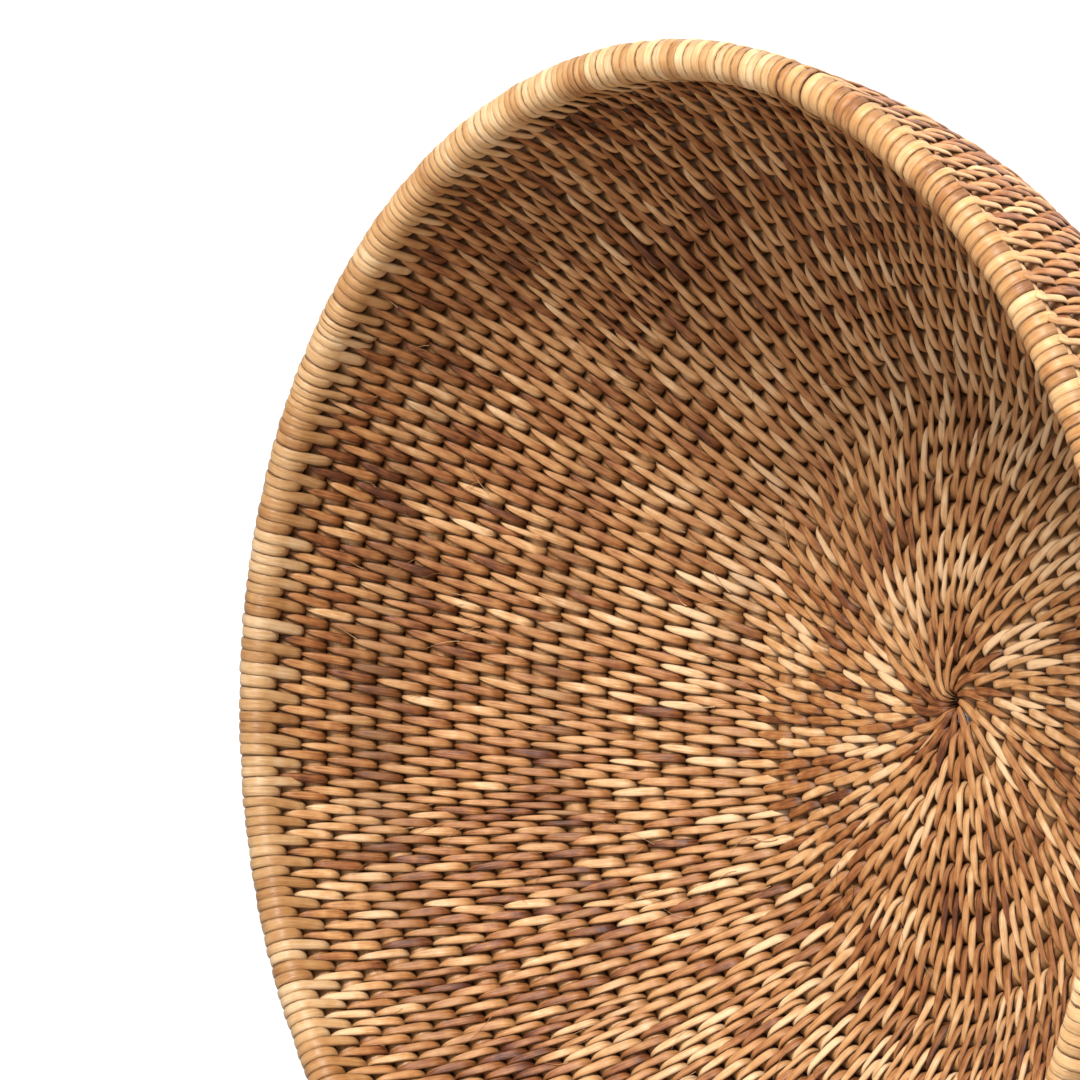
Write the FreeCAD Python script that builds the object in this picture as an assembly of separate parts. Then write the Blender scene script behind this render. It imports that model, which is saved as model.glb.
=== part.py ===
import FreeCAD, Part
import math
import os

# A winnowing basket in coiled rattan, in millimetres.
# One long coil of round core cane is wound from the middle of the floor outwards, counter-clockwise
# seen from above.  It lies flat for the floor, turns up through a short bend and climbs the wall, which
# flares at first and curls up until it is nearly upright under the rim.  Every turn is bound with flat
# cane and stitched to the turn before.  The last turn is the thicker rim, whose tapered end is bound
# down over its own beginning.
# +Z points out of the mouth.  The origin is under the middle of the outline, where the basket rests.

# Coil and cane
PITCH = 7.5                 # spacing of neighbouring turns, measured along the wall
BINDING_THICKNESS = 0.75    # flat binding cane on the core
CORE_CLEARANCE = 0.18       # core to binding
TURN_GAP = 0.24             # between the bindings of neighbouring turns
SPLICE_GAP = 0.3            # between two lengths of cane that follow each other

# Bowl, counted in turns of the coil from the middle of the floor
START_TURN = 0.62           # the first turn begins here and leaves the small hole in the middle
FLOOR_TURNS = 10.67         # the floor is flat up to here
BEND_TURNS = 1.70           # and turns up over these
RIM_TURN = 30.70            # the rim begins here, and so does every turn, on the -Y side
LEAST_CENTRE = 0.5          # least part of a turn between the hole and the first full turn
FULL_TURNS = math.floor(RIM_TURN - START_TURN - LEAST_CENTRE)

# Slope of the wall in degrees at these shares of the way up it, from the bend to the middle of the
# rim, changing evenly between them.  A hand-made bowl is a little askew, so each has the extra slope of
# the +X side and that of the +Y side, which the -X and -Y sides have the other way.
WALL_SLOPES = (
    (0.0, 32.7, 5.6, 10.3),
    (0.24, 35.0, 6.4, 10.4),
    (0.475, 43.7, 5.2, 5.4),
    (0.735, 63.6, 4.6, -6.8),
    (1.0, 83.6, 3.3, -4.6),
)

# Rim
RIM_RADIUS = 4.9            # of the bound rim, the other turns being thinner
RIM_SWELL = 0.08            # part of a turn over which the rim grows to its full thickness
RIM_TAPER_START = RIM_TURN + 0.93   # the end of the rim grows thinner from here
RIM_END = RIM_TURN + 1.015
RIM_TIP_RADIUS = 2.1

# Lengths of cane
CORE_LENGTHS = 8
STRANDS_PER_TURN = 4        # strands of binding cane that cover one turn
RINGS_PER_TURN = 24         # rings through which a length of coil is drawn

TURN_RADIUS = (PITCH - TURN_GAP) / 2
BINDING_INSIDE = TURN_RADIUS - BINDING_THICKNESS
CORE_RADIUS = BINDING_INSIDE - CORE_CLEARANCE
WALL_START = FLOOR_TURNS + BEND_TURNS
WALL_TURNS = RIM_TURN + 0.9 - WALL_START

# The same slopes by turn, with the flat floor before them
SLOPES = ((FLOOR_TURNS, 0.0, 0.0, 0.0),) + tuple(
    (WALL_START + share * WALL_TURNS, slope, more_x, more_y)
    for share, slope, more_x, more_y in WALL_SLOPES
)


def smooth_step(x):
    """0 below 0, 1 above 1, and a smooth rise between."""
    x = min(max(x, 0.0), 1.0)
    return x * x * (3 - 2 * x)


def bound_radius(turn):
    """Outside radius of the bound coil at a turn: even up to the rim, then the rim with its tapered end."""
    swell = smooth_step((turn - RIM_TURN) / RIM_SWELL)
    taper = smooth_step((turn - RIM_TAPER_START) / (RIM_END - RIM_TAPER_START))
    full = TURN_RADIUS + (RIM_RADIUS - TURN_RADIUS) * swell
    return full + (RIM_TIP_RADIUS - full) * taper


def distance_along_bowl(turn):
    """Distance of the coil's middle from the middle of the floor, along floor, bend and wall."""
    if turn <= RIM_TURN:
        return turn * PITCH
    below = turn - 1
    return distance_along_bowl(below) + bound_radius(below) + TURN_GAP + bound_radius(turn)


def angle_at(turn):
    """Direction from the middle of the floor to the coil at a turn."""
    return 2 * math.pi * (turn - RIM_TURN) - math.pi / 2


def slope_at(knot, angle):
    """Slope of the bowl at one of the SLOPES, on the side that lies in this direction."""
    turn, slope, more_x, more_y = knot
    return math.radians(slope + more_x * math.cos(angle) + more_y * math.sin(angle))


def bowl_profile(distance, angle):
    """Radius and height of a point at this distance along the bowl, in this direction.

    The slope changes evenly along the bowl from one of the SLOPES to the next, which makes an arc.
    """
    radius = min(distance, FLOOR_TURNS * PITCH)
    height = 0.0
    for lower, upper in zip(SLOPES, SLOPES[1:]):
        length = (upper[0] - lower[0]) * PITCH
        run = max(distance - lower[0] * PITCH, 0.0)
        if upper is not SLOPES[-1]:
            run = min(run, length)
        bend = (slope_at(upper, angle) - slope_at(lower, angle)) * run / length
        middle = slope_at(lower, angle) + bend / 2
        chord = run * math.sin(bend / 2) / (bend / 2) if bend else run
        radius += chord * math.cos(middle)
        height += chord * math.sin(middle)
    return radius, height


def floor_centred_point(turn):
    """Middle of the coil at a turn, with the middle of the floor at x = y = 0."""
    angle = angle_at(turn)
    radius, height = bowl_profile(distance_along_bowl(turn), angle)
    return FreeCAD.Vector(radius * math.cos(angle), radius * math.sin(angle), TURN_RADIUS + height)


def outline_middle():
    """Middle of the rim's outline in x and y, which becomes the origin."""
    steps = 720
    turns = [RIM_TURN + i / steps for i in range(steps + 1)]
    low_x = min(floor_centred_point(t).x - bound_radius(t) for t in turns)
    high_x = max(floor_centred_point(t).x + bound_radius(t) for t in turns)
    low_y = min(floor_centred_point(t).y - bound_radius(t) for t in turns)
    high_y = max(floor_centred_point(t).y + bound_radius(t) for t in turns)
    return FreeCAD.Vector((low_x + high_x) / 2, (low_y + high_y) / 2, 0)


ORIGIN = outline_middle()


def coil_point(turn):
    """Middle of the coil at a turn, in the part's own frame."""
    return floor_centred_point(turn) - ORIGIN


def heading(turn):
    """Direction in which the coil runs at a turn."""
    step = 1e-4
    return (coil_point(turn + step) - coil_point(turn - step)).normalize()


def ring(turn, radius):
    """Round outline across the coil at a turn."""
    circle = Part.Circle(coil_point(turn), heading(turn), radius)
    circle.XAxis = FreeCAD.Vector(0, 0, 1).cross(heading(turn))
    return Part.Wire([circle.toShape()])


def rod(start, end, radius_at):
    """Solid rod along a stretch of coil, its radius given at every turn."""
    count = max(8, math.ceil((end - start) * RINGS_PER_TURN))
    turns = [start + (end - start) * i / count for i in range(count + 1)]
    return Part.makeLoft([ring(t, radius_at(t)) for t in turns], True, False)


def sleeve(start, end):
    """Hollow strand of binding along a stretch of coil, bent to the arc through its two ends and its middle."""
    first, middle, last = [coil_point(t) for t in (start, (start + end) / 2, end)]
    bend = Part.Arc(first, middle, last).toShape().Curve
    across = bend.Axis.cross(first - bend.Center)
    outside = Part.Wire([Part.makeCircle(TURN_RADIUS, first, across)])
    inside = Part.Wire([Part.makeCircle(BINDING_INSIDE, first, across)])
    section = Part.makeFace([outside, inside], "Part::FaceMakerBullseye")
    angle = (first - bend.Center).getAngle(last - bend.Center)
    return section.revolve(bend.Center, bend.Axis, math.degrees(angle))


def coil_length(start, end):
    """Length of coil between two turns."""
    steps = max(8, math.ceil((end - start) * RINGS_PER_TURN))
    points = [coil_point(start + (end - start) * i / steps) for i in range(steps + 1)]
    return sum((b - a).Length for a, b in zip(points, points[1:]))


def turn_at_length(start, length):
    """Turn that is this far along the coil from a starting turn."""
    low, high = start, RIM_TURN
    for _ in range(30):
        middle = (low + high) / 2
        if coil_length(start, middle) < length:
            low = middle
        else:
            high = middle
    return (low + high) / 2


def gap_in_turns(turn):
    """Part of a turn that the splice gap takes, measured on the inner side of the bend."""
    radius = bowl_profile(distance_along_bowl(turn), angle_at(turn))[0] - TURN_RADIUS
    return SPLICE_GAP / (2 * math.pi * radius)


def core_length(start, end):
    """Solid core cane along a stretch of coil."""
    count = math.ceil((end - start) * RINGS_PER_TURN)
    curve = Part.BSplineCurve()
    curve.interpolate([coil_point(start + (end - start) * i / count) for i in range(count + 1)])
    section = Part.makeCircle(CORE_RADIUS, coil_point(start), curve.tangent(curve.FirstParameter)[0])
    return Part.Wire([curve.toShape()]).makePipeShell([Part.Wire([section])], True, False)


def core_lengths():
    """The lengths of core cane from the middle of the floor to the rim, end to end."""
    share = coil_length(START_TURN, RIM_TURN) / CORE_LENGTHS
    cores = []
    start = START_TURN
    for i in range(CORE_LENGTHS):
        end = RIM_TURN
        if i < CORE_LENGTHS - 1:
            end = turn_at_length(start, share)
        cores.append(core_length(start, end - gap_in_turns(end)))
        start = end
    return cores


def strand_ends(start, end):
    """First and last turn of each strand of a stretch that is bound by four strands to the turn."""
    strands = max(1, round((end - start) * STRANDS_PER_TURN))
    ends = []
    for i in range(strands):
        first = start + (end - start) * i / strands
        last = start + (end - start) * (i + 1) / strands
        ends.append((first, last - gap_in_turns(last)))
    return ends


def turn_binding(start, end):
    """The strands that bind one turn, each a sleeve round its stretch of the core."""
    return Part.makeCompound([sleeve(first, last) for first, last in strand_ends(start, end)])


def rim_core_radius(turn):
    return bound_radius(turn) - BINDING_THICKNESS - CORE_CLEARANCE


def rim_binding_inside(turn):
    return bound_radius(turn) - BINDING_THICKNESS


def rim_core():
    return rod(RIM_TURN, RIM_END, rim_core_radius)


def rim_binding():
    """The strands that bind the rim."""
    sleeves = []
    for first, last in strand_ends(RIM_TURN, RIM_END):
        outside = rod(first, last, bound_radius)
        sleeves.append(outside.cut(rod(first, last, rim_binding_inside)).Solids[0])
    return Part.makeCompound(sleeves)


def write(shape, node):
    shape.exportStep("parts/" + node + ".step")


os.makedirs("parts", exist_ok=True)

for number, core in enumerate(core_lengths(), 1):
    write(core, "core_length_%d" % number)

first_full_turn = RIM_TURN - FULL_TURNS
write(turn_binding(START_TURN, first_full_turn), "centre_binding")
for number in range(FULL_TURNS):
    start = first_full_turn + number
    write(turn_binding(start, start + 1), "turn_%02d_binding" % (number + 1))

write(rim_core(), "rim_core")
write(rim_binding(), "rim_binding")
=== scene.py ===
import math

import bpy
import numpy as np
from mathutils import Matrix, Vector


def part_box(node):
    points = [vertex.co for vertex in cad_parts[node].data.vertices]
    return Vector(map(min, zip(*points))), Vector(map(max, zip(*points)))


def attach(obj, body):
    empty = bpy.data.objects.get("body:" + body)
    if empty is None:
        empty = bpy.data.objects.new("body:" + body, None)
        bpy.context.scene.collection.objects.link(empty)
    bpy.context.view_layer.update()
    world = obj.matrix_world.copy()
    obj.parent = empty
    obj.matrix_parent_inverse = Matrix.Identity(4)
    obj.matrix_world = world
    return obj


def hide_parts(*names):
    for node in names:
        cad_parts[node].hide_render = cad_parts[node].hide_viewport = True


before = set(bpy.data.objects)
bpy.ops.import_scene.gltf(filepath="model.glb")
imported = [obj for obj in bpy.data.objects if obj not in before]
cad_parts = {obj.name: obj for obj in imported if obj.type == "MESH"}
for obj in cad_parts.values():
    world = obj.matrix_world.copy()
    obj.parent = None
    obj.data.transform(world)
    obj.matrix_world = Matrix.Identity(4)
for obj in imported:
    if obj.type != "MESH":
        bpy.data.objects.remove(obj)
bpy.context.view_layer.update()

rng = np.random.default_rng(31)

# A coiled rattan basket, in metres.  The CAD model has the core cane and a plain sleeve for each
# turn's binding.  Here the sleeves are replaced by the strips of flat cane that the basket is
# stitched with, laid over the same coil.

# The coil.  These are the same dimensions as in the CAD model, and check_coil() compares the coil
# they give with the CAD nodes.
PITCH = 0.0075               # spacing of neighbouring turns
TURN_RADIUS = 0.00363        # of the bound coil
TURN_GAP = 0.00024           # between neighbouring turns
START_TURN = 0.62            # the coil begins here, counted from the middle of the floor
FLOOR_TURNS = 10.67          # the floor is flat up to here
BEND_TURNS = 1.70            # and turns up over these
RIM_TURN = 30.70             # the rim begins here
FULL_TURNS = 29
RIM_RADIUS = 0.0049
RIM_SWELL = 0.08             # part of a turn over which the rim grows to its full thickness
RIM_TAPER_START = RIM_TURN + 0.93
RIM_END = RIM_TURN + 1.015
RIM_TIP_RADIUS = 0.0021

# Slope of the wall in degrees at these shares of the way up it, from the bend to the middle of the
# rim, the extra slope of the +X side and that of the +Y side.
WALL_SLOPES = (
    (0.0, 32.7, 5.6, 10.3),
    (0.24, 35.0, 6.4, 10.4),
    (0.475, 43.7, 5.2, 5.4),
    (0.735, 63.6, 4.6, -6.8),
    (1.0, 83.6, 3.3, -4.6),
)
WALL_START = FLOOR_TURNS + BEND_TURNS
WALL_TURNS = RIM_TURN + 0.9 - WALL_START

# The same slopes by turn, with the flat floor before them.
SLOPES = ((FLOOR_TURNS, 0.0, 0.0, 0.0),) + tuple(
    (WALL_START + share * WALL_TURNS, slope, more_x, more_y)
    for share, slope, more_x, more_y in WALL_SLOPES
)

# Stitches
CANE_THICKNESS = 0.00078
CANE_WIDTH = 0.00272
FIRST_STITCH = 1.22          # turn of the first stitch
PETAL_TURN = 2.3             # up to here the stitches go through the hole in the middle
HOLE_RADIUS = 0.26 * PITCH
FLOOR_SPACING = 0.86         # long stitches along the coil, in pitches
WALL_SPACING = 0.79
SPREAD = 1.25                # times the usual spacing: from here on two stitches go in, not one
LEAN = 0.17                  # sideways shift of a stitch per pitch outwards, clockwise
LEAN_ON_RIM = 0.3            # part of it that stays on the top of the rim
STRIP_SHARE = 0.485          # widest a strip may be, as a share of the spacing
RIM_STRIP_SHARE = 0.515      # on the rim the strips press against each other
BACK_SHIFT = (0.05, 0.42)    # a stitch moves along by this on its way up the outside, in pitches
STITCHES_PER_STRAND = 42
STRAY_FIBRES = 240
WRAP_RADIUS = 0.0033         # from the middle of the coil to the underside of the stitches
CORE_FACE = 0.0031           # from the middle of the coil to the core cane's inner and outer face
CORE_SIDE = 0.00378          # and to its sides, where it presses on the neighbouring turns

# Width of a long stitch along its length, as a share: thin where it starts on the outer side, full
# and blunt where it dives between the turns, then thinner again on the outside of the bowl.
INSIDE_STATIONS = 15
WALL_TAPER = np.array([
    0.22, 0.30, 0.40, 0.52, 0.64, 0.75, 0.84, 0.93, 0.99, 1.02, 1.04, 1.05, 1.05, 1.02, 0.92,
    0.80, 0.90, 1.00, 1.00, 1.00, 0.90, 0.75, 0.60, 0.45,
])
RIM_TAPER = np.array([1.0] * 9 + [0.98, 0.94, 0.90, 0.86, 0.82, 0.76] + [0.7] * 9)
LONG_STATIONS = len(WALL_TAPER)


def smooth_step(x):
    """0 below 0, 1 above 1, and a smooth rise between."""
    x = np.clip(x, 0.0, 1.0)
    return x * x * (3 - 2 * x)


# ---------------------------------------------------------------- the coil

def bound_radius(turn):
    """Outside radius of the bound coil."""
    swell = smooth_step((turn - RIM_TURN) / RIM_SWELL)
    taper = smooth_step((turn - RIM_TAPER_START) / (RIM_END - RIM_TAPER_START))
    full = TURN_RADIUS + (RIM_RADIUS - TURN_RADIUS) * swell
    return full + (RIM_TIP_RADIUS - full) * taper


def distance_along_bowl(turn):
    """Distance of the coil's middle from the middle of the floor, along floor, bend and wall."""
    turn = np.asarray(turn, float)
    even = turn * PITCH
    below = turn - 1
    rim = even - PITCH + TURN_RADIUS + TURN_GAP + bound_radius(turn)
    rim_again = below * PITCH - PITCH + TURN_RADIUS + TURN_GAP + bound_radius(below)
    over = rim_again + bound_radius(below) + TURN_GAP + bound_radius(turn)
    return np.where(turn <= RIM_TURN, even, np.where(below <= RIM_TURN, rim, over))


def angle_at(turn):
    """Direction from the middle of the floor to the coil at a turn."""
    return 2 * math.pi * (turn - RIM_TURN) - math.pi / 2


def slope_at(knot, angle):
    """Slope of the bowl at one of the SLOPES, on the side that lies in this direction."""
    turn, slope, more_x, more_y = knot
    return np.radians(slope + more_x * np.cos(angle) + more_y * np.sin(angle))


def bowl_profile(distance, angle):
    """Radius and height at these distances along the bowl, in these directions."""
    radius = np.minimum(distance, FLOOR_TURNS * PITCH)
    height = np.zeros_like(radius)
    for lower, upper in zip(SLOPES, SLOPES[1:]):
        length = (upper[0] - lower[0]) * PITCH
        run = np.maximum(distance - lower[0] * PITCH, 0.0)
        if upper is not SLOPES[-1]:
            run = np.minimum(run, length)
        bend = (slope_at(upper, angle) - slope_at(lower, angle)) * run / length
        middle = slope_at(lower, angle) + bend / 2
        chord = run * np.sinc(bend / 2 / math.pi)
        radius = radius + chord * np.cos(middle)
        height = height + chord * np.sin(middle)
    return radius, height


def floor_centred_points(turn):
    """Middle of the coil at these turns, with the middle of the floor at x = y = 0."""
    turn = np.asarray(turn, float)
    angle = angle_at(turn)
    radius, height = bowl_profile(distance_along_bowl(turn), angle)
    return np.stack([radius * np.cos(angle), radius * np.sin(angle), TURN_RADIUS + height], -1)


def floor_middle():
    """Middle of the floor in x and y: the fourth turn's CAD box against the same turn of this coil."""
    turns = np.linspace(RIM_TURN - FULL_TURNS + 3, RIM_TURN - FULL_TURNS + 4, 721)
    points = floor_centred_points(turns)[:, :2]
    low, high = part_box("turn_04_binding")
    middle_here = (points.min(0) + points.max(0)) / 2
    middle_there = np.array([low[0] + high[0], low[1] + high[1]]) / 2
    return np.append(middle_there - middle_here, 0.0)


FLOOR_MIDDLE = floor_middle()


def coil_points(turn):
    return floor_centred_points(turn) + FLOOR_MIDDLE


def unit(v):
    return v / np.linalg.norm(v, axis=-1, keepdims=True)


def coil_frame(turn):
    """Middle of the coil, its direction, the direction away from the turn before, and into the bowl."""
    step = 0.002
    first = 0.02
    middle = coil_points(turn)
    along = unit(coil_points(turn + step) - coil_points(turn - step))
    outwards = middle - coil_points(np.maximum(turn - 1, first))
    outwards = outwards - along * np.sum(outwards * along, -1, keepdims=True)
    outwards = unit(outwards)
    inwards = np.cross(outwards, along)
    inwards = np.where(inwards[..., 2:3] < 0, -inwards, inwards)
    return middle, along, outwards, inwards


def coil_length_per_turn(turn):
    """Length of one turn of the coil, and no less than a small circle's round the hole."""
    radius, _ = bowl_profile(distance_along_bowl(turn), angle_at(turn))
    return 2 * math.pi * np.maximum(radius, 0.4 * PITCH)


def check_coil():
    """Stops if this coil isn't the CAD model's coil."""
    turns = np.linspace(RIM_TURN - 1, RIM_TURN, 721)
    points = coil_points(turns)
    low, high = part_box("turn_%02d_binding" % FULL_TURNS)
    for axis in (0, 1):
        here = (points[:, axis].min() + points[:, axis].max()) / 2
        there = (low[axis] + high[axis]) / 2
        if abs(here - there) > 0.0015:
            raise SystemExit("the coil differs from the CAD model by %.4f m" % abs(here - there))


check_coil()


# ---------------------------------------------------------------- where the stitches are

def stitch_turns():
    """Turn of every long stitch.  Each new stitch goes between two stitches of the turn before, and
    where those have spread too far apart two go in."""
    turns = [FIRST_STITCH]
    while turns[-1] < PETAL_TURN:
        last = turns[-1]
        turns.append(last + FLOOR_SPACING * PITCH / coil_length_per_turn(last))
    j = 0
    while True:
        a, b = turns[j], turns[j + 1]
        j += 1
        here = (a + b) / 2 + 1
        if here <= turns[-1]:
            continue
        length = coil_length_per_turn(here)
        wall = smooth_step((here - FLOOR_TURNS) / 4)
        spacing = (FLOOR_SPACING + (WALL_SPACING - FLOOR_SPACING) * wall) * PITCH
        lean = LEAN * PITCH / length
        if (b - a) * length > SPREAD * spacing:
            places = (0.24, 0.76)
        else:
            places = (0.5,)
        for place in places:
            jitter = rng.normal(0, 0.02) * PITCH / length
            turns.append(a + (b - a) * place + 1 - lean + jitter)
        if turns[-1] > RIM_END - 0.01:
            return np.array(turns)


LONG = stitch_turns()
GAPS = np.diff(LONG, append=LONG[-1] + (LONG[-1] - LONG[-2])) * coil_length_per_turn(LONG)
SHORT = LONG[:-1] + np.diff(LONG) / 2


# ---------------------------------------------------------------- strips of cane

# Cross-section of the cane: flat underneath, gently rounded on top.
SECTION = np.array([
    (-0.50, 0.15), (-0.475, 0.62), (-0.36, 0.88), (-0.14, 1.0), (0.14, 1.0),
    (0.36, 0.88), (0.475, 0.62), (0.50, 0.15), (0.30, -0.02), (-0.30, -0.02),
])


def strip_mesh(points, sideways, away, width, thickness):
    """Vertices of strips of cane.  points, sideways and away are (strips, stations, 3)."""
    across = SECTION[:, 0][None, None, :, None] * width[..., None, None]
    up = SECTION[:, 1][None, None, :, None] * thickness[..., None, None]
    return points[:, :, None] + sideways[:, :, None] * across + away[:, :, None] * up


def strip_faces(strips, stations, corners):
    """Quads along every strip.  Its ends are open and lie hidden between the turns."""
    s = np.arange(strips)[:, None, None] * stations * corners
    i = np.arange(stations - 1)[None, :, None] * corners
    c = np.arange(corners)[None, None, :]
    d = (c + 1) % corners
    quads = np.stack([s + i + c, s + i + d, s + i + d + corners, s + i + c + corners], -1)
    return quads.reshape(-1, 4)


def strips_along(turn, x, y, shift, width, thickness, roll):
    """Strips whose middle line is given in the coil's own cross-section: x away from the turn before,
    y into the bowl, shift along the coil.  All are (strips, stations), in metres, apart from roll,
    the angle by which each strip is turned about its own line."""
    length = coil_length_per_turn(turn)[:, None]
    place = turn[:, None] + shift / length
    middle, along, outwards, inwards = coil_frame(place)
    points = middle + outwards * x[..., None] + inwards * y[..., None]
    direction = unit(np.gradient(points, axis=1))
    sideways = along - direction * np.sum(along * direction, -1, keepdims=True)
    sideways = unit(sideways)
    away = np.cross(sideways, direction)
    from_middle = points - (middle + outwards * (-0.5 * PITCH))
    flip = np.sign(np.sum(away * from_middle, -1)[:, 2:3])
    away = away * flip[..., None]
    turned = roll[:, None, None]
    sideways, away = (
        sideways * np.cos(turned) + away * np.sin(turned),
        away * np.cos(turned) - sideways * np.sin(turned),
    )
    return strip_mesh(points, sideways, away, width, thickness)


def round_own(angles, radius):
    """Points round the coil at these angles: 0 is away from the turn before and 90 into the bowl."""
    a = np.radians(np.atleast_2d(angles))
    return radius[:, None] * np.cos(a), radius[:, None] * np.sin(a)


def long_stitches(turn, gap):
    """A long stitch: over its own turn and the turn before on the inside of the bowl, down between
    that turn and the next one inwards, and back up the outside.  On the rim it starts low on the
    outside, and elsewhere where the next turn covers its start."""
    n = len(turn)
    on_rim = (turn >= RIM_TURN)[:, None]
    own = bound_radius(turn) - TURN_RADIUS + WRAP_RADIUS
    before = np.full(n, WRAP_RADIUS)
    reach = np.linalg.norm(coil_points(turn) - coil_points(turn - 1), axis=-1)
    lift = rng.uniform(0, 0.0003, n)
    start = np.where(on_rim, np.linspace(-80, 92, 7), np.linspace(2, 92, 7))
    own_in, own_in_y = round_own(start, own + lift)
    bridge = np.array([0.22, 0.5, 0.78])[None, :]
    bridge_x = -reach[:, None] * bridge
    bridge_y = (own + lift)[:, None] * (1 - bridge) + (before + lift)[:, None] * bridge
    bridge_y = bridge_y + 0.00012
    last_in, last_in_y = round_own([92, 116, 140, 160, 178], before + lift * 0.8)
    last_out, last_out_y = round_own([196, 220, 246, 268], before + lift)
    end = np.where(on_rim, np.linspace(272, 288, 4), np.linspace(272, 348, 4))
    own_out, own_out_y = round_own(end, own + lift)
    x = np.concatenate([own_in, bridge_x, last_in - reach[:, None], last_out - reach[:, None],
                        bridge_x[:, 1:2], own_out], 1)
    y = np.concatenate([own_in_y, bridge_y, last_in_y, last_out_y, -bridge_y[:, 1:2], own_out_y], 1)
    lean = (LEAN + rng.normal(0, 0.035, n))[:, None]
    shift = -lean * np.where(on_rim & (x > 0), LEAN_ON_RIM * x, x)
    back = np.zeros(LONG_STATIONS)
    back[INSIDE_STATIONS:] = np.linspace(*BACK_SHIFT, LONG_STATIONS - INSIDE_STATIONS)
    shift = shift + back[None, :] * PITCH
    base = np.minimum(CANE_WIDTH, STRIP_SHARE * gap) * rng.uniform(0.90, 1.08, n)
    base = np.where(on_rim[:, 0], RIM_STRIP_SHARE * gap, base)
    taper = np.where(on_rim, RIM_TAPER, WALL_TAPER)
    thickness = np.full((n, LONG_STATIONS), CANE_THICKNESS) * rng.uniform(0.85, 1.2, (n, 1))
    return x, y, shift, base[:, None] * taper, thickness


def short_wraps(turn, gap):
    """A short wrap: round its own turn only."""
    n = len(turn)
    own = bound_radius(turn) - TURN_RADIUS + WRAP_RADIUS + rng.uniform(0, 0.0003, n)
    x, y = round_own(np.linspace(-100, 268, 25)[None, :], own)
    lean = (0.06 + rng.normal(0, 0.03, n))[:, None]
    shift = -lean * x
    base = RIM_STRIP_SHARE * gap * rng.uniform(0.97, 1.03, n)
    width = np.repeat(base[:, None], x.shape[1], 1)
    thickness = np.full(x.shape, CANE_THICKNESS)
    return x, y, shift, width, thickness


def core_cane(start, end):
    """The face of the core cane, where it shows between the stitches, and painted shade at each of its
    corners: darkest at the sides, between neighbouring turns."""
    corners = 24
    length = coil_length_per_turn(np.array([(start + end) / 2]))[0] * (end - start)
    turn = np.linspace(start, end, max(24, int(length / 0.003)))
    middle, along, outwards, inwards = coil_frame(turn)
    angle = np.linspace(0, 2 * math.pi, corners, endpoint=False)
    press = np.abs(np.cos(angle)) ** 3
    radius = (bound_radius(turn) - TURN_RADIUS)[:, None] + CORE_FACE + (CORE_SIDE - CORE_FACE) * press
    side = outwards[:, None] * np.cos(angle)[None, :, None]
    side = side + inwards[:, None] * np.sin(angle)[None, :, None]
    verts = middle[:, None] + side * radius[..., None]
    # painted shade: darkest at the sides, where the neighbouring turns press on the core
    dark = np.repeat((0.12 + 0.8 * press)[None, :], len(turn), 0)
    return verts[None], np.array([0.55]), dark[None]


def petals(turn):
    """The first stitches: out of the hole in the middle, over the first turns, curving clockwise."""
    n = len(turn)
    f = np.linspace(0, 1, 16)[None, :]
    length = distance_along_bowl(turn)
    outer = length + 0.44 * PITCH
    radius = outer[:, None] * (1 - f) + HOLE_RADIUS * f
    height = 0.44 * PITCH * smooth_step((outer[:, None] - radius) / (0.4 * PITCH))
    height = height - 0.75 * PITCH * smooth_step((0.55 * PITCH - radius) / (0.45 * PITCH))
    curl = 0.55 * (radius / outer[:, None] - 1) ** 2 + 0.16 * (1 - radius / outer[:, None])
    angle = angle_at(turn)[:, None] + curl * 1.15
    points = np.stack([radius * np.cos(angle), radius * np.sin(angle), TURN_RADIUS + height], -1)
    points = points + FLOOR_MIDDLE
    direction = unit(np.gradient(points, axis=1))
    up = np.zeros_like(points)
    up[..., 2] = 1
    radial = np.stack([np.cos(angle), np.sin(angle), np.zeros_like(angle)], -1)
    side = unit(np.cross(direction, up * 0.8 + radial * 0.35))
    away = np.cross(side, direction)
    away = away * np.where(away[..., 2:3] < 0, -1.0, 1.0)
    taper = np.interp(f[0], [0, 0.12, 0.4, 0.8, 1.0], [0.6, 0.95, 1.05, 0.75, 0.4])
    width = CANE_WIDTH * np.ones((n, 1)) * taper[None, :]
    thickness = np.full(width.shape, CANE_THICKNESS)
    return strip_mesh(points, side, away, width, thickness)


def stray_fibres():
    """Thin fibres that have come loose from the strips and stand off the inside of the bowl."""
    n = STRAY_FIBRES
    turn = rng.uniform(9, RIM_TURN, n)
    f = np.linspace(0, 1, 9)[None, :]
    long = rng.uniform(0.5, 1.7, (n, 1)) * PITCH
    x = long * (f - 0.5)
    y = CORE_FACE + CANE_THICKNESS + 0.0006 + rng.uniform(0.0002, 0.0022, (n, 1)) * f ** 2
    shift = long * (rng.normal(0, 0.5, (n, 1)) * f + rng.normal(0, 0.5, (n, 1)) * f ** 2)
    width = rng.uniform(0.00010, 0.00028, (n, 1)) * (1.1 - f)
    verts = strips_along(turn, x, y, shift, width, width * 0.7, rng.normal(0, 0.5, n))
    return verts, rng.uniform(0.3, 1.0, n), np.zeros(n)


# ---------------------------------------------------------------- colours carried by the strips

STRAND = np.floor(np.arange(len(LONG)) / STITCHES_PER_STRAND + rng.uniform(0, 1)).astype(int)
STRAND_TONE = rng.uniform(0, 1, STRAND.max() + 1)
LONG_TONE = np.clip(0.38 * STRAND_TONE[STRAND] + 0.62 * rng.uniform(0, 1, len(LONG)), 0, 1)


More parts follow.
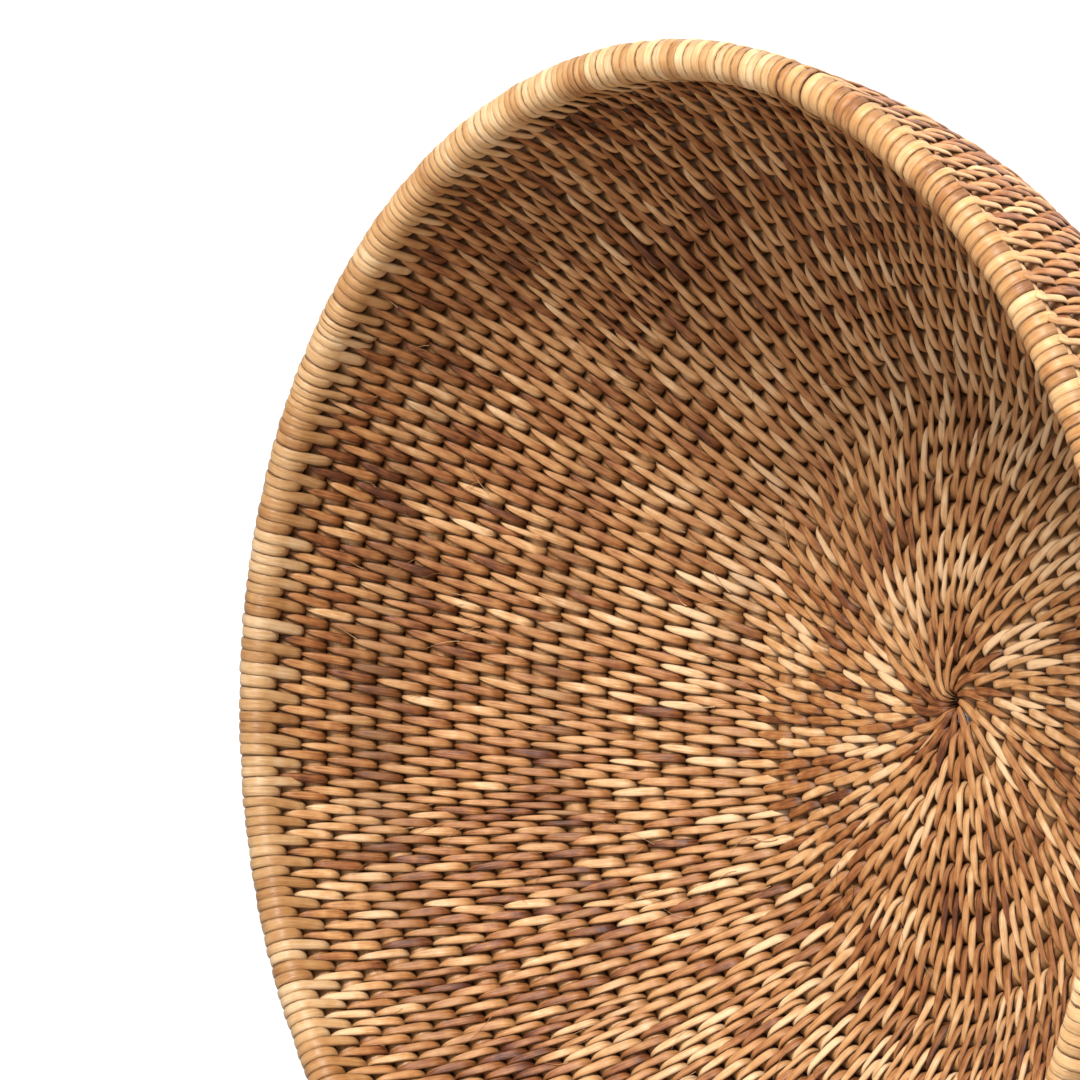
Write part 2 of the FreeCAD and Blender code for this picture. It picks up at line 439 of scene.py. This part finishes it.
def darker_bands_and_painted_shade(turn):
    """How much darker the cane is made, by turn and side: painted shade on the far (+Y) side near turn
    27 and along the rim, and darker bands on the far side near turn 20 and all round near turn 13, all
    but the rim's varied from strip to strip.
    """
    angle = (turn - RIM_TURN) % 1.0
    far = np.exp(-((angle - 0.5) / 0.13) ** 2)
    # painted shade on the far side near turn 27; darker bands on the far side near turn 20 and all
    # round near turn 13
    value = 0.55 * far * np.exp(-((turn - 27.2) / 1.2) ** 2)
    value = value + 0.45 * far * np.exp(-((turn - 20.4) / 0.7) ** 2)
    value = value + 0.25 * np.exp(-((turn - 13.3) / 0.8) ** 2)
    value = value * rng.uniform(0.3, 1.2, len(turn))
    # painted shade on the far side of the rim
    value = value + 0.30 * far * smooth_step(turn - RIM_TURN + 0.5)
    return np.minimum(value, 0.9)


def shade(darkness, stations):
    """How dark strips are at each of their corners: the darkness passed in, and painted shade along the
    edges, darkest on the underside, and at the ends where they come out from and go in between the
    turns.
    """
    # painted shade: darker towards the edges and darkest on the underside
    edge = np.array([0.8, 0.45, 0.12, 0, 0, 0.12, 0.45, 0.8, 0.9, 0.9])
    end = np.zeros(stations)
    if stations == LONG_STATIONS:
        # painted shade where a long stitch comes out from under the next turn, and where it goes in
        # between the turns
        end[:4] = [0.6, 0.4, 0.2, 0.08]
        end[INSIDE_STATIONS - 4:INSIDE_STATIONS + 1] = [0.12, 0.35, 0.65, 0.85, 0.5]
    return 1 - (1 - darkness)[:, None, None] * (1 - end)[None, :, None] * (1 - edge)[None, None, :]


def make_piece(name, groups, material, nodes):
    """One mesh from several groups of strips, standing for CAD nodes.

    tint holds each strip's tone, a random number of its own and how dark it is, from darker bands and
    painted shade, and fibre holds the place across and along the strip, in metres.
    """
    vertices, faces, tones, fibres = [], [], [], []
    start = 0
    for verts, tone, darkness in groups:
        strips, stations, corners, _ = verts.shape
        if strips == 0:
            continue
        vertices.append(verts.reshape(-1, 3))
        faces.append(strip_faces(strips, stations, corners) + start)
        start += strips * stations * corners
        tint = np.zeros((strips, stations, corners, 4))
        tint[..., 0] = tone[:, None, None]
        tint[..., 1] = rng.uniform(0, 1, strips)[:, None, None]
        tint[..., 2] = darkness if darkness.ndim == 3 else shade(darkness, stations)
        tint[..., 3] = 1
        tones.append(tint.reshape(-1, 4))
        steps = np.linalg.norm(np.diff(verts.mean(2), axis=1), axis=-1)
        run = np.concatenate([np.zeros((strips, 1)), np.cumsum(steps, 1)], 1)
        fibre = np.zeros((strips, stations, corners, 3))
        fibre[..., 0] = np.linspace(-1, 1, corners)[None, None, :] * CANE_WIDTH / 2
        fibre[..., 1] = run[:, :, None]
        fibre[..., 2] = rng.uniform(0, 10, strips)[:, None, None]
        fibres.append(fibre.reshape(-1, 3))
    vertices, faces = np.concatenate(vertices), np.concatenate(faces)
    mesh = bpy.data.meshes.new(name)
    mesh.vertices.add(len(vertices))
    mesh.vertices.foreach_set("co", vertices.ravel())
    mesh.loops.add(faces.size)
    mesh.loops.foreach_set("vertex_index", faces.ravel())
    mesh.polygons.add(len(faces))
    mesh.polygons.foreach_set("loop_start", np.arange(len(faces)) * 4)
    mesh.update(calc_edges=True)
    mesh.polygons.foreach_set("use_smooth", np.ones(len(faces), bool))
    tint = mesh.attributes.new("tint", "FLOAT_COLOR", "POINT")
    tint.data.foreach_set("color", np.concatenate(tones).ravel())
    fibre = mesh.attributes.new("fibre", "FLOAT_VECTOR", "POINT")
    fibre.data.foreach_set("vector", np.concatenate(fibres).ravel())
    mesh.materials.append(material)
    mesh.validate()
    obj = bpy.data.objects.new(name, mesh)
    bpy.context.scene.collection.objects.link(obj)
    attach(obj, "root")
    if nodes:
        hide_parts(*nodes)
    return obj


# ---------------------------------------------------------------- materials

def new_material(name):
    """A material, its node tree and its shader."""
    material = bpy.data.materials.new(name)
    material.use_nodes = True
    tree = material.node_tree
    return material, tree, tree.nodes["Principled BSDF"]


def add(tree, kind, **values):
    """A new node of this kind, with its properties and inputs set by name."""
    node = tree.nodes.new(kind)
    for key, value in values.items():
        if hasattr(node, key):
            setattr(node, key, value)
        else:
            node.inputs[key.replace("_", " ")].default_value = value
    return node


def ramp(tree, stops):
    """A colour ramp through (place, colour) stops."""
    node = tree.nodes.new("ShaderNodeValToRGB")
    elements = node.color_ramp.elements
    while len(elements) < len(stops):
        elements.new(0.5)
    for element, (place, colour) in zip(elements, stops):
        element.position = place
        element.color = (*colour, 1)
    return node


def cane_material(name, stops, roughness):
    """Cane: each strip's own tone, patches and fine grain along it, and clouds over the basket."""
    material, tree, shader = new_material(name)
    link = tree.links.new
    tint = add(tree, "ShaderNodeAttribute", attribute_name="tint")
    split = tree.nodes.new("ShaderNodeSeparateColor")
    link(tint.outputs["Color"], split.inputs[0])
    fibre = add(tree, "ShaderNodeAttribute", attribute_name="fibre")
    stretch = add(tree, "ShaderNodeMapping")
    stretch.inputs["Scale"].default_value = (3600, 120, 1)
    link(fibre.outputs["Vector"], stretch.inputs["Vector"])
    grain = add(tree, "ShaderNodeTexNoise", Scale=1.0, Detail=4.0, Roughness=0.6)
    link(stretch.outputs[0], grain.inputs["Vector"])
    patch_map = add(tree, "ShaderNodeMapping")
    patch_map.inputs["Scale"].default_value = (420, 170, 1)
    link(fibre.outputs["Vector"], patch_map.inputs["Vector"])
    patch = add(tree, "ShaderNodeTexNoise", Scale=1.0, Detail=2.0)
    link(patch_map.outputs[0], patch.inputs["Vector"])
    place = tree.nodes.new("ShaderNodeTexCoord")
    cloud = add(tree, "ShaderNodeTexNoise", Scale=34.0, Detail=3.0)
    link(place.outputs["Object"], cloud.inputs["Vector"])

    def add_share(a, b, share):
        """b plus this share of a."""
        node = add(tree, "ShaderNodeMath", operation="MULTIPLY_ADD")
        link(a, node.inputs[0])
        node.inputs[1].default_value = share
        link(b, node.inputs[2])
        return node.outputs[0]

    base = add(tree, "ShaderNodeMath", operation="ADD")
    base.inputs[1].default_value = -1.06
    link(split.outputs[0], base.inputs[0])
    tone = add_share(patch.outputs["Fac"], base.outputs[0], 0.8)
    tone = add_share(grain.outputs["Fac"], tone, 0.9)
    tone = add_share(cloud.outputs["Fac"], tone, 0.5)
    colours = ramp(tree, stops)
    link(tone, colours.inputs[0])
    # darkens the colour by the tint's third channel: darker bands and painted shade
    darker = add(tree, "ShaderNodeMix", data_type="RGBA")
    darker.blend_type = "MULTIPLY"
    link(split.outputs[2], darker.inputs[0])
    link(colours.outputs[0], darker.inputs[6])
    darker.inputs[7].default_value = (0.13, 0.075, 0.045, 1)
    link(darker.outputs[2], shader.inputs["Base Color"])
    bump = add(tree, "ShaderNodeBump", Strength=0.8, Distance=0.0004)
    link(grain.outputs["Fac"], bump.inputs["Height"])
    link(bump.outputs[0], shader.inputs["Normal"])
    shader.inputs["Roughness"].default_value = roughness
    shader.inputs["Specular IOR Level"].default_value = 0.35
    return material


CANE = cane_material("binding_cane", [
    (0.0, (0.09, 0.024, 0.008)), (0.25, (0.26, 0.088, 0.024)), (0.5, (0.42, 0.185, 0.062)),
    (0.75, (0.56, 0.295, 0.118)), (1.0, (0.74, 0.48, 0.26)),
], 0.46)
# The rim's cane is a lighter copy of the wall's: painted light on the rim.
RIM_CANE_PAINTED_LIGHT = cane_material("rim_cane", [
    (0.0, (0.30, 0.12, 0.038)), (0.25, (0.44, 0.21, 0.072)), (0.5, (0.54, 0.29, 0.115)),
    (0.75, (0.64, 0.38, 0.17)), (1.0, (0.76, 0.52, 0.29)),
], 0.40)


def core_material():
    """The core cane itself, coloured nearly black: painted shade where it can be seen between the
    strips.
    """
    material, tree, shader = new_material("core_cane")
    place = tree.nodes.new("ShaderNodeTexCoord")
    noise = add(tree, "ShaderNodeTexNoise", Scale=420.0, Detail=3.0)
    tree.links.new(place.outputs["Object"], noise.inputs["Vector"])
    colours = ramp(tree, [(0.3, (0.05, 0.022, 0.010)), (0.7, (0.13, 0.062, 0.028))])
    tree.links.new(noise.outputs["Fac"], colours.inputs[0])
    tree.links.new(colours.outputs[0], shader.inputs["Base Color"])
    shader.inputs["Roughness"].default_value = 0.8
    return material


CORE = core_material()
for name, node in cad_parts.items():
    if "core" in name:
        node.data.materials.clear()
        node.data.materials.append(CORE)


# ---------------------------------------------------------------- the basket

def built(kind, turn, gap):
    """Vertices of one kind of stitch at these turns."""
    x, y, shift, width, thickness = kind(turn, gap)
    roll = rng.normal(0, 0.05, len(turn))
    return strips_along(turn, x, y, shift, width, thickness, roll)


def weave():
    """One piece for every binding node: the core cane's face, the stitches and, on the rim, short
    wraps between them."""
    first_full = RIM_TURN - FULL_TURNS
    edges = [(0.0, first_full, "centre_binding")]
    for number in range(1, FULL_TURNS + 1):
        edges.append((first_full + number - 1, first_full + number, "turn_%02d_binding" % number))
    edges.append((RIM_TURN, RIM_END + 1, "rim_binding"))
    for start, end, node in edges:
        on_turn = (LONG >= start) & (LONG < end)
        turn, gap, tone = LONG[on_turn], GAPS[on_turn], LONG_TONE[on_turn]
        groups = [core_cane(max(start, START_TURN), min(end, RIM_END))]
        petal = turn < PETAL_TURN
        if petal.any():
            groups.append((petals(turn[petal]), tone[petal], darker_bands_and_painted_shade(turn[petal])))
        usual = ~petal
        if usual.any():
            verts = built(long_stitches, turn[usual], gap[usual])
            groups.append((verts, tone[usual], darker_bands_and_painted_shade(turn[usual])))
        if start >= RIM_TURN:
            on_rim = SHORT >= start
            short, short_gap = SHORT[on_rim], GAPS[:-1][on_rim]
            verts = built(short_wraps, short, short_gap)
            groups.append((verts, LONG_TONE[:-1][on_rim], darker_bands_and_painted_shade(short)))
        material = RIM_CANE_PAINTED_LIGHT if node == "rim_binding" else CANE
        make_piece(node.replace("binding", "stitches"), groups, material, [node])
    make_piece("stray_fibres", [stray_fibres()], CANE, [])


weave()


# ---------------------------------------------------------------- floor, light and camera

def stage_floor():
    """A plain pale floor."""
    material, tree, shader = new_material("pale_floor")
    shader.inputs["Base Color"].default_value = (0.9, 0.9, 0.9, 1)
    shader.inputs["Roughness"].default_value = 0.9
    bpy.ops.mesh.primitive_plane_add(size=8, location=(0, 0, 0))
    floor = bpy.context.object
    floor.name = "floor"
    floor.data.materials.append(material)


def area_light(name, place, power, size, target=(0, 0, 0.05)):
    """A soft light at a place in metres, turned to the basket."""
    light = bpy.data.lights.new(name, "AREA")
    light.energy = power
    light.size = size
    lamp = bpy.data.objects.new(name, light)
    lamp.location = place
    lamp.rotation_euler = (Vector(target) - Vector(place)).to_track_quat("-Z", "Y").to_euler()
    bpy.context.scene.collection.objects.link(lamp)


def studio():
    """White surroundings, a key light over the +X -Y side, and a weak fill light."""
    world = bpy.data.worlds.new("studio")
    world.use_nodes = True
    world.node_tree.nodes["Background"].inputs[0].default_value = (1, 1, 1, 1)
    world.node_tree.nodes["Background"].inputs[1].default_value = 0.55
    bpy.context.scene.world = world
    area_light("key", (1.25, -0.85, 1.25), 62, 0.6)
    area_light("fill", (-1.2, -0.6, 1.8), 12, 1.4)
    bpy.context.scene.view_settings.view_transform = "Standard"


CAMERA_LENS = 211.9                              # mm, on a sensor 36 mm wide
CAMERA_PLACE = (-0.03554, -1.35349, 1.14220)     # from the middle of the floor, on the table
CAMERA_FORWARD = (0.04561, 0.80529, -0.59113)
CAMERA_RIGHT = (0.0, -0.59174, -0.80613)


def camera():
    """Above the -Y side, looking down into the bowl, turned so that +Y is to the left."""
    data = bpy.data.cameras.new("camera")
    data.sensor_width = 36
    data.lens = CAMERA_LENS
    data.clip_end = 20
    cam = bpy.data.objects.new("camera", data)
    forward = Vector(CAMERA_FORWARD).normalized()
    right = Vector(CAMERA_RIGHT)
    right = (right - forward * right.dot(forward)).normalized()
    up = right.cross(forward)
    turned = Matrix((right, up, -forward)).transposed().to_4x4()
    place = Vector(CAMERA_PLACE) + Vector(FLOOR_MIDDLE)
    cam.matrix_world = Matrix.Translation(place) @ turned
    bpy.context.scene.collection.objects.link(cam)
    bpy.context.scene.camera = cam


stage_floor()
studio()
camera()
